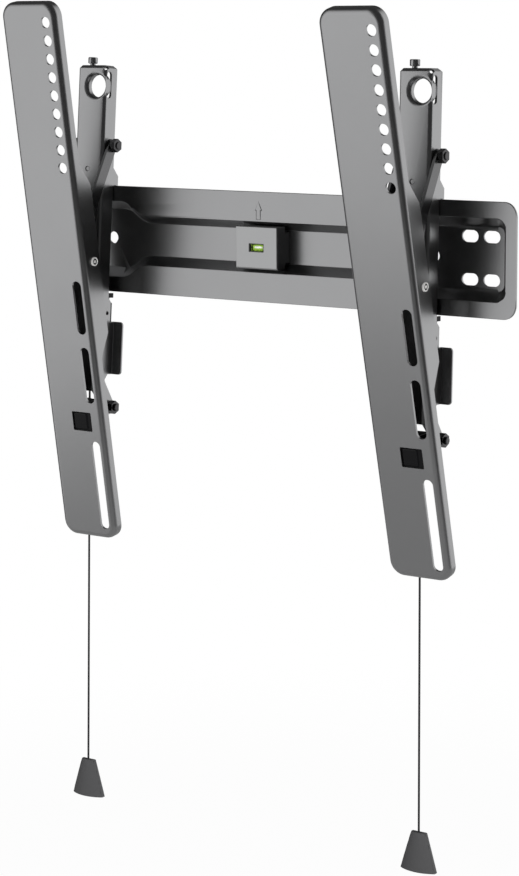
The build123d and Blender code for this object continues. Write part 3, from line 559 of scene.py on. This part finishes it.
screw_zinc = finish_material(
    "screw_zinc", SCREW_ZINC, roughness=0.24, metal=1.0, grain=2600.0, bump=0.008
)
knurl_turn = np.linspace(0.0, 2.0 * np.pi, ROUND_STEPS, endpoint=False)
for side, (screw_foot, screw_axis) in SCREW_PLACE.items():
    thread_along = np.arange(THREAD_BOTTOM, THREAD_TOP, THREAD_PITCH / 2)
    thread_radius = THREAD_RADIUS - THREAD_DEPTH * (np.arange(len(thread_along)) % 2)
    shank_along = np.array((0.0, 0.0, HEAD_LOW, HEAD_LOW, HEAD_LOW + HEAD_ROUND))
    shank_radius = np.array((
        THREAD_RADIUS, NECK_RADIUS, NECK_RADIUS, HEAD_RADIUS - HEAD_ROUND, HEAD_RADIUS,
    ))
    crown_along = np.array((
        HEAD_HIGH - HEAD_ROUND, HEAD_HIGH, HEAD_HIGH, HEAD_HIGH - DIMPLE_DEPTH,
    ))
    crown_radius = np.array((
        HEAD_RADIUS, HEAD_RADIUS - HEAD_ROUND, DIMPLE_RADIUS, DIMPLE_FLOOR,
    ))
    screw_along = np.concatenate((thread_along, shank_along, crown_along))
    screw_radius = np.concatenate((thread_radius, shank_radius, crown_radius))
    knurled = np.repeat(screw_radius[:, None], ROUND_STEPS, axis=1)
    in_head = (screw_radius >= HEAD_RADIUS - SAME_RADIUS)[:, None]
    knurled = knurled - in_head * KNURL_DEPTH * (np.cos(KNURL_COUNT * knurl_turn)[None, :] < 0)
    screw = new_piece(
        side + "thumb_screw",
        turned_mesh(side + "thumb_screw", screw_along, knurled, screw_foot, screw_axis),
        screw_zinc, side + "screw",
    )
    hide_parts(side + "adjusting_screw")

# Latches. Folded gloss-black slides inside the brackets that catch the plate's lower rim, each
# drawn up by a coil spring of bright wire, with a turned ferrule for its pull cord.
GLOSS_COLOUR = (0.008, 0.008, 0.0085, 1.0)
SPRING_COLOUR = (0.42, 0.42, 0.43, 1.0)
SPRING_AXIS = {
    "left_": ((-0.1664, -0.029808, -0.023691), (-0.1664, -0.025767, 0.022132)),
    "right_": ((0.15815, -0.026015, -0.024506), (0.15815, -0.024490, 0.021469)),
}
COIL_RADIUS = 0.0026
COIL_WIRE = 0.0004
COIL_TURNS = 24
COIL_STEPS = 480
COIL_MARGIN = 0.01
WIRE_STEPS = 8
LATCH_SPECULAR = 0.06


def coil_shape(name, coil_foot, coil_head):
    """Wound wire: its middle goes round the line from foot to head at the coil's radius,
    p = foot + rise * t + radius * (cos a * side + sin a * front) with a = 2 pi * turns * t, and
    each row of points is a small ring about that middle, closed at both ends."""
    foot = np.array(coil_foot)
    rise = np.array(coil_head) - foot
    rise_way = rise / np.linalg.norm(rise)
    side_way = np.array((1.0, 0.0, 0.0))
    front_way = np.cross(rise_way, side_way)
    travel = np.linspace(0.0, 1.0, COIL_STEPS)[:, None]
    angle = 2.0 * np.pi * COIL_TURNS * travel
    outward = np.cos(angle) * side_way + np.sin(angle) * front_way
    height = COIL_MARGIN + (1.0 - 2.0 * COIL_MARGIN) * travel
    middle = foot + rise * height + COIL_RADIUS * outward
    ring = np.linspace(0.0, 2.0 * np.pi, WIRE_STEPS, endpoint=False)[None, :, None]
    wire = middle[:, None, :] + COIL_WIRE * (
        np.cos(ring) * outward[:, None, :] + np.sin(ring) * rise_way
    )
    mesh = bpy.data.meshes.new(name)
    mesh.from_pydata(wire.reshape(-1, 3).tolist(), [], grid_faces(COIL_STEPS, WIRE_STEPS))
    closed_outward(mesh)
    mesh.polygons.foreach_set("use_smooth", np.ones(len(mesh.polygons), dtype=bool))
    return mesh


latch_paint = finish_material(
    "latch_paint", GLOSS_COLOUR, roughness=0.22, metal=0.0, grain=700.0, bump=0.004, cloud=0.02
)
shader_value(latch_paint, "Specular IOR Level", LATCH_SPECULAR)
spring_wire = finish_material(
    "spring_wire", SPRING_COLOUR, roughness=0.25, metal=1.0, grain=2600.0, bump=0.004
)
for side, (coil_foot, coil_head) in SPRING_AXIS.items():
    broken_edges(side + "latch", SHEET_EDGE, latch_paint)
    broken_edges(side + "cord_ferrule", SMALL_EDGE, black_steel)
    coil_mesh = coil_shape(side + "coil_spring", coil_foot, coil_head)
    coil_mesh.materials.append(spring_wire)
    coil = bpy.data.objects.new(side + "coil_spring", coil_mesh)
    bpy.context.scene.collection.objects.link(coil)
    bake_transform(coil)
    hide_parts(side + "latch_spring")

# Television arms. Long folded steel trays with a row of round holes and slots, in the same satin
# coat, their cut edges left sharp. A gloss-black hinge carrier is welded inside each, and turns
# on a barrel over the pivot bolt.
CARRIER_COLOUR = (0.006, 0.006, 0.0065, 1.0)
CARRIER_SPECULAR = 0.12
ARM_EDGE = 0.0

carrier_paint = finish_material(
    "carrier_paint", CARRIER_COLOUR, roughness=0.14, metal=0.0, grain=700.0, bump=0.004, cloud=0.02
)
shader_value(carrier_paint, "Specular IOR Level", CARRIER_SPECULAR)
for side in SIDES:
    broken_edges(side + "tv_arm", ARM_EDGE, powder_coat)
    broken_edges(side + "hinge_carrier", SHEET_EDGE, carrier_paint)
    broken_edges(side + "pivot_barrel", SMALL_EDGE, black_steel)

# Tilt struts. Flat slotted links stamped from thinner sheet with a darker, glossier coat. Their
# nickel-plated rivets run in the slots; each end shows a rolled rim, a flat black disc in its well
# as painted shade, and a pin.
STRUT_COLOUR = (0.120, 0.120, 0.122, 1.0)
NICKEL = (0.90, 0.89, 0.87, 1.0)
RIM_ALONG = (0.0, 0.0003, 0.0005, 0.0005, 0.0003, 0.0)
RIM_RADIUS = (0.0037, 0.0036, 0.0032, 0.0029, 0.0026, 0.0025)
WELL_ALONG = (0.0, 0.00008, 0.00008)
WELL_RADIUS = (0.0026, 0.0026, 0.0)
PIN_ALONG = (0.0, 0.0003, 0.00045, 0.0005)
PIN_RADIUS = (0.0013, 0.00125, 0.0008, 0.0)

# Flat black disc in each rivet's well: painted shade of the well's hollow.
rivet_well_painted_shade = finish_material(
    "rivet_well_painted_shade", RING_AND_SHADE_BLACK, roughness=0.5, metal=0.0, grain=700.0, bump=0.004
)
strut_coat = finish_material(
    "strut_coat", STRUT_COLOUR, roughness=0.26, metal=1.0, grain=1400.0, bump=0.010
)
nickel = finish_material(
    "nickel", NICKEL, roughness=0.32, metal=0.6, grain=2600.0, bump=0.004
)
for side in SIDES:
    broken_edges(side + "strut_a", SHEET_EDGE, strut_coat)
    broken_edges(side + "strut_b", SHEET_EDGE, strut_coat)
    broken_edges(side + "strut_rivets", SMALL_EDGE, nickel)
    rivet_points = frame["nodes"][side + "strut_rivets"].data.vertices
    corners = np.array([point.co for point in rivet_points])
    low, high = corners.min(axis=0), corners.max(axis=0)
    rivet_y, rivet_z = (low[1] + high[1]) / 2, (low[2] + high[2]) / 2
    for end, face_x, outward in (("inner", low[0], -1.0), ("outer", high[0], 1.0)):
        for form, form_along, form_radius, form_finish in (
            ("rim", RIM_ALONG, RIM_RADIUS, nickel), ("well", WELL_ALONG, WELL_RADIUS, rivet_well_painted_shade),
            ("pin", PIN_ALONG, PIN_RADIUS, nickel),
        ):
            name = side + end + "_rivet_" + form
            new_piece(
                name,
                turned_mesh(
                    name, outward * np.array(form_along), np.array(form_radius),
                    (face_x, rivet_y, rivet_z), (1.0, 0.0, 0.0),
                ),
                form_finish, side + "arm",
            )

# Pull cords. A thin braided black cord hangs straight down from each latch; the right one bends
# over the arm's bottom fold.
CORD_DIAMETER = 0.0018
CORD_ROUTES = {
    "left_": (
        (-0.17730, -0.017142, -0.11114),
        (-0.18050, -0.017128, -0.22840),
        (-0.18370, -0.017114, -0.34570),
        (-0.18690, -0.017100, -0.46300),
    ),
    "right_": (
        (0.14725, -0.008578, -0.11113),
        (0.14838, -0.001680, -0.24302),
        (0.14850, -0.000950, -0.25700),
        (0.148565, -0.001045, -0.27100),
        (0.14950, -0.002400, -0.47140),
    ),
}
CORD_COLOUR = (0.02, 0.02, 0.021, 1.0)
CORD_ROUNDNESS = 4
CORD_BEND_ORDER = 3
CORD_BEND_STEPS = 12

cord_braid = finish_material(
    "cord_braid", CORD_COLOUR, roughness=0.8, metal=0.0, grain=2500.0, bump=0.04
)
cords = {}
for side, route in CORD_ROUTES.items():
    curve = bpy.data.curves.new(side + "pull_cord", "CURVE")
    curve.dimensions = "3D"
    curve.bevel_depth = CORD_DIAMETER / 2
    curve.bevel_resolution = CORD_ROUNDNESS
    curve.use_fill_caps = True
    line = curve.splines.new("NURBS")
    line.points.add(len(route) - 1)
    for point, place in zip(line.points, route):
        point.co = (*place, 1.0)
    line.use_endpoint_u = True
    line.order_u = CORD_BEND_ORDER
    line.resolution_u = CORD_BEND_STEPS
    curve.materials.append(cord_braid)
    cords[side] = bpy.data.objects.new(side + "pull_cord", curve)
    bpy.context.scene.collection.objects.link(cords[side])
    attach(cords[side], side + "latch")
    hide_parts(side + "cord")

# Pull handles. Moulded black grips with a flat back and a bulged front, wider at the bottom,
# clipped on the end of each cord.
HANDLE_COLOUR = (0.078, 0.078, 0.080, 1.0)
HANDLE_EDGE = 0.0008
HANDLE_SPECULAR = 0.12

handle_plastic = finish_material(
    "handle_plastic", HANDLE_COLOUR, roughness=0.42, metal=0.0, grain=1600.0, bump=0.02
)
shader_value(handle_plastic, "Specular IOR Level", HANDLE_SPECULAR)
for side, route in CORD_ROUTES.items():
    handle = broken_edges(side + "handle", HANDLE_EDGE, handle_plastic)
